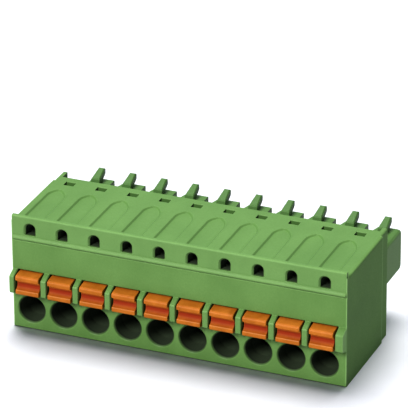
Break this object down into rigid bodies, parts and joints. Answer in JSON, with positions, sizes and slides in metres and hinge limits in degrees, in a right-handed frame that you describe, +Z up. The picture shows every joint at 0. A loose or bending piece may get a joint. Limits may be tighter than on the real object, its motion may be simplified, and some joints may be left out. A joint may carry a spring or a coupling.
{
  "type": "pluggable circuit-board connector",
  "caption": "Green circuit-board plug connector with a row of round wire entries, orange push-in release levers, test holes and mating chambers behind.",
  "frame": {"origin": "middle of the object's footprint, at the height of its flat underside", "axes": "+X along the row of positions, +Y from the wire side towards the mating side, +Z up"},
  "size_m": [0.039, 0.0204, 0.0136],
  "materials": {
    "housing_green": "fine moulded satin",
    "lever_orange": "moulded satin",
    "spring_steel": "bright spring steel",
    "tinned_copper": "tin plated"
  },
  "bodies": {
    "housing": {"housing": "housing_green", "clamp_spring_01": "spring_steel", "clamp_spring_02": "spring_steel", "clamp_spring_03": "spring_steel", "clamp_spring_04": "spring_steel", "clamp_spring_05": "spring_steel", "clamp_spring_06": "spring_steel", "clamp_spring_07": "spring_steel", "clamp_spring_08": "spring_steel", "clamp_spring_09": "spring_steel", "clamp_spring_10": "spring_steel", "contact_01": "tinned_copper", "contact_02": "tinned_copper", "contact_03": "tinned_copper", "contact_04": "tinned_copper", "contact_05": "tinned_copper", "contact_06": "tinned_copper", "contact_07": "tinned_copper", "contact_08": "tinned_copper", "contact_09": "tinned_copper", "contact_10": "tinned_copper"},
    "lever_01": {"release_lever_01": "lever_orange"},
    "lever_02": {"release_lever_02": "lever_orange"},
    "lever_03": {"release_lever_03": "lever_orange"},
    "lever_04": {"release_lever_04": "lever_orange"},
    "lever_05": {"release_lever_05": "lever_orange"},
    "lever_06": {"release_lever_06": "lever_orange"},
    "lever_07": {"release_lever_07": "lever_orange"},
    "lever_08": {"release_lever_08": "lever_orange"},
    "lever_09": {"release_lever_09": "lever_orange"},
    "lever_10": {"release_lever_10": "lever_orange"}
  },
  "joints": [
    {"name": "press_lever_01", "type": "slide", "parent": "housing", "child": "lever_01", "axis": [0, 1, 0], "range_m": [0, 0.001], "stiffness_N_per_m": 3000, "springref_m": -0.0001, "deforming": ["clamp_spring_01"]},
    {"name": "press_lever_02", "type": "slide", "parent": "housing", "child": "lever_02", "axis": [0, 1, 0], "range_m": [0, 0.001], "stiffness_N_per_m": 3000, "springref_m": -0.0001, "deforming": ["clamp_spring_02"]},
    {"name": "press_lever_03", "type": "slide", "parent": "housing", "child": "lever_03", "axis": [0, 1, 0], "range_m": [0, 0.001], "stiffness_N_per_m": 3000, "springref_m": -0.0001, "deforming": ["clamp_spring_03"]},
    {"name": "press_lever_04", "type": "slide", "parent": "housing", "child": "lever_04", "axis": [0, 1, 0], "range_m": [0, 0.001], "stiffness_N_per_m": 3000, "springref_m": -0.0001, "deforming": ["clamp_spring_04"]},
    {"name": "press_lever_05", "type": "slide", "parent": "housing", "child": "lever_05", "axis": [0, 1, 0], "range_m": [0, 0.001], "stiffness_N_per_m": 3000, "springref_m": -0.0001, "deforming": ["clamp_spring_05"]},
    {"name": "press_lever_06", "type": "slide", "parent": "housing", "child": "lever_06", "axis": [0, 1, 0], "range_m": [0, 0.001], "stiffness_N_per_m": 3000, "springref_m": -0.0001, "deforming": ["clamp_spring_06"]},
    {"name": "press_lever_07", "type": "slide", "parent": "housing", "child": "lever_07", "axis": [0, 1, 0], "range_m": [0, 0.001], "stiffness_N_per_m": 3000, "springref_m": -0.0001, "deforming": ["clamp_spring_07"]},
    {"name": "press_lever_08", "type": "slide", "parent": "housing", "child": "lever_08", "axis": [0, 1, 0], "range_m": [0, 0.001], "stiffness_N_per_m": 3000, "springref_m": -0.0001, "deforming": ["clamp_spring_08"]},
    {"name": "press_lever_09", "type": "slide", "parent": "housing", "child": "lever_09", "axis": [0, 1, 0], "range_m": [0, 0.001], "stiffness_N_per_m": 3000, "springref_m": -0.0001, "deforming": ["clamp_spring_09"]},
    {"name": "press_lever_10", "type": "slide", "parent": "housing", "child": "lever_10", "axis": [0, 1, 0], "range_m": [0, 0.001], "stiffness_N_per_m": 3000, "springref_m": -0.0001, "deforming": ["clamp_spring_10"]}
  ]
}
